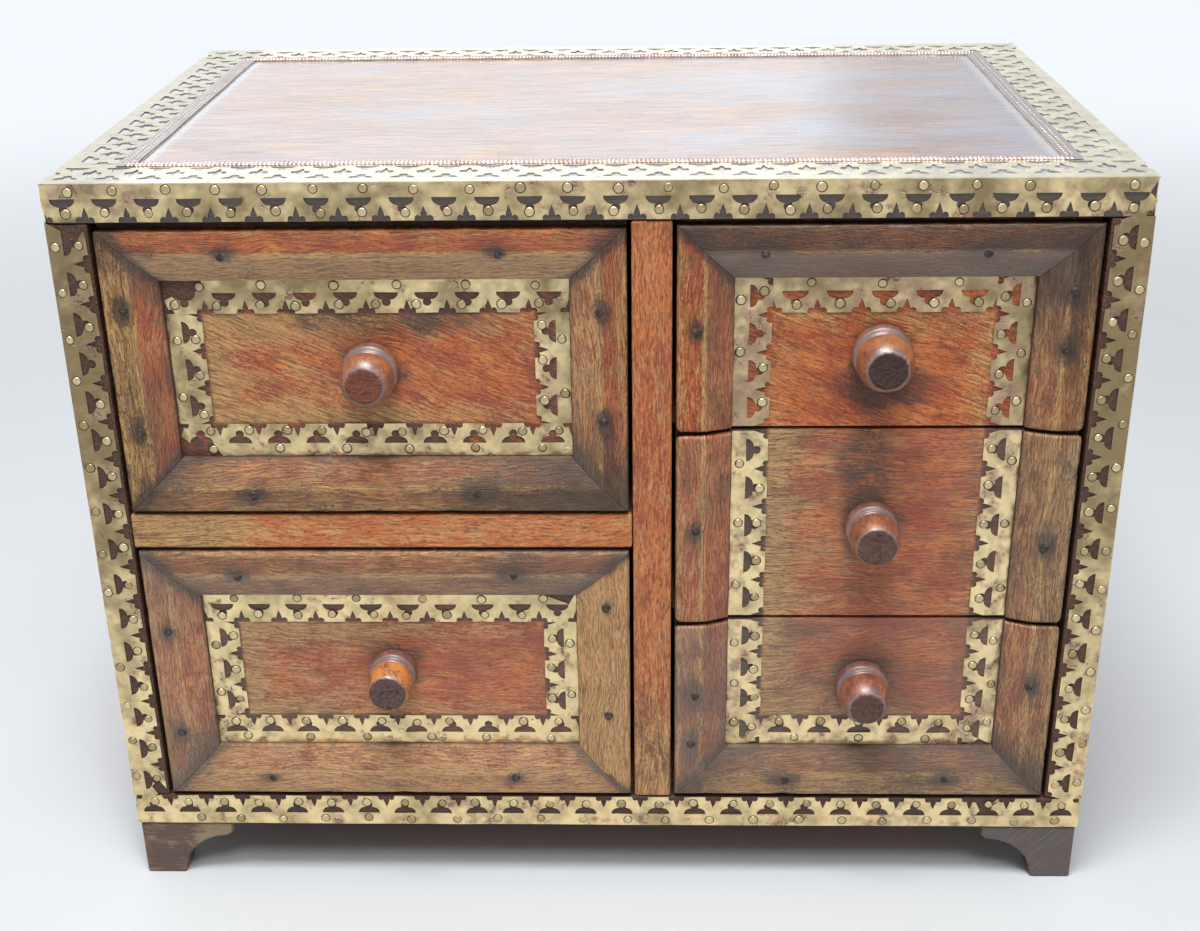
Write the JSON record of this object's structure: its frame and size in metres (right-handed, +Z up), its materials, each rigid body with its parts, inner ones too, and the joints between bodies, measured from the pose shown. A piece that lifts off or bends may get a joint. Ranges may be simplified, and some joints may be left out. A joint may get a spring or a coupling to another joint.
{
  "type": "storage cabinet",
  "caption": "Small wooden chest of drawers on bracket feet, with mitred drawer frames, turned knobs and pierced sheet brass strips nailed round its edges and drawer panels.",
  "frame": {"origin": "on the floor, at the centre of the box that the whole chest fills, knobs included", "axes": "+X to the right seen from the front, +Y from the front to the back, +Z up; the drawers open towards -Y"},
  "size_m": [0.4, 0.2742, 0.3071],
  "materials": {
    "carcass_wood": "worn reddish brown hardwood",
    "panel_wood": "worn orange brown hardwood",
    "moulding_wood": "waxed brown hardwood, dark at the joints",
    "lining_wood": "bare softwood",
    "foot_wood": "dark worn hardwood",
    "knob_wood": "turned and rubbed hardwood",
    "sheet_brass": "aged sheet brass",
    "copper_trim": "thin copper braid and embossed strip"
  },
  "bodies": {
    "carcass": {"top_board": "carcass_wood", "bottom_board": "carcass_wood", "left_side": "carcass_wood", "right_side": "carcass_wood", "back_panel": "carcass_wood", "centre_divider": "carcass_wood", "left_rail": "carcass_wood", "right_lower_shelf": "lining_wood", "right_upper_shelf": "lining_wood", "front_left_foot": "foot_wood", "front_right_foot": "foot_wood", "back_left_foot": "foot_wood", "back_right_foot": "foot_wood", "front_brass_border": "sheet_brass", "top_brass_border": "sheet_brass", "top_copper_trim": "copper_trim", "left_side_brass_border": "sheet_brass", "right_side_brass_border": "sheet_brass"},
    "upper_left_drawer": {"upper_left_drawer_front": "panel_wood", "upper_left_drawer_left_side": "lining_wood", "upper_left_drawer_right_side": "lining_wood", "upper_left_drawer_back": "lining_wood", "upper_left_drawer_bottom": "lining_wood", "upper_left_drawer_knob": "knob_wood", "upper_left_drawer_moulding": "moulding_wood", "upper_left_drawer_brass_border": "sheet_brass"},
    "lower_left_drawer": {"lower_left_drawer_front": "panel_wood", "lower_left_drawer_left_side": "lining_wood", "lower_left_drawer_right_side": "lining_wood", "lower_left_drawer_back": "lining_wood", "lower_left_drawer_bottom": "lining_wood", "lower_left_drawer_knob": "knob_wood", "lower_left_drawer_moulding": "moulding_wood", "lower_left_drawer_brass_border": "sheet_brass"},
    "upper_right_drawer": {"upper_right_drawer_front": "panel_wood", "upper_right_drawer_left_side": "lining_wood", "upper_right_drawer_right_side": "lining_wood", "upper_right_drawer_back": "lining_wood", "upper_right_drawer_bottom": "lining_wood", "upper_right_drawer_knob": "knob_wood", "upper_right_drawer_moulding": "moulding_wood", "upper_right_drawer_brass_border": "sheet_brass"},
    "middle_right_drawer": {"middle_right_drawer_front": "panel_wood", "middle_right_drawer_left_side": "lining_wood", "middle_right_drawer_right_side": "lining_wood", "middle_right_drawer_back": "lining_wood", "middle_right_drawer_bottom": "lining_wood", "middle_right_drawer_knob": "knob_wood", "middle_right_drawer_moulding_left": "moulding_wood", "middle_right_drawer_moulding_right": "moulding_wood", "middle_right_drawer_brass_border_left": "sheet_brass", "middle_right_drawer_brass_border_right": "sheet_brass"},
    "lower_right_drawer": {"lower_right_drawer_front": "panel_wood", "lower_right_drawer_left_side": "lining_wood", "lower_right_drawer_right_side": "lining_wood", "lower_right_drawer_back": "lining_wood", "lower_right_drawer_bottom": "lining_wood", "lower_right_drawer_knob": "knob_wood", "lower_right_drawer_moulding": "moulding_wood", "lower_right_drawer_brass_border": "sheet_brass"}
  },
  "joints": [
    {"name": "upper_left_slide", "type": "slide", "parent": "carcass", "child": "upper_left_drawer", "axis": [0, -1, 0], "range_m": [0, 0.19]},
    {"name": "lower_left_slide", "type": "slide", "parent": "carcass", "child": "lower_left_drawer", "axis": [0, -1, 0], "range_m": [0, 0.19]},
    {"name": "upper_right_slide", "type": "slide", "parent": "carcass", "child": "upper_right_drawer", "axis": [0, -1, 0], "range_m": [0, 0.19]},
    {"name": "middle_right_slide", "type": "slide", "parent": "carcass", "child": "middle_right_drawer", "axis": [0, -1, 0], "range_m": [0, 0.19]},
    {"name": "lower_right_slide", "type": "slide", "parent": "carcass", "child": "lower_right_drawer", "axis": [0, -1, 0], "range_m": [0, 0.19]}
  ]
}
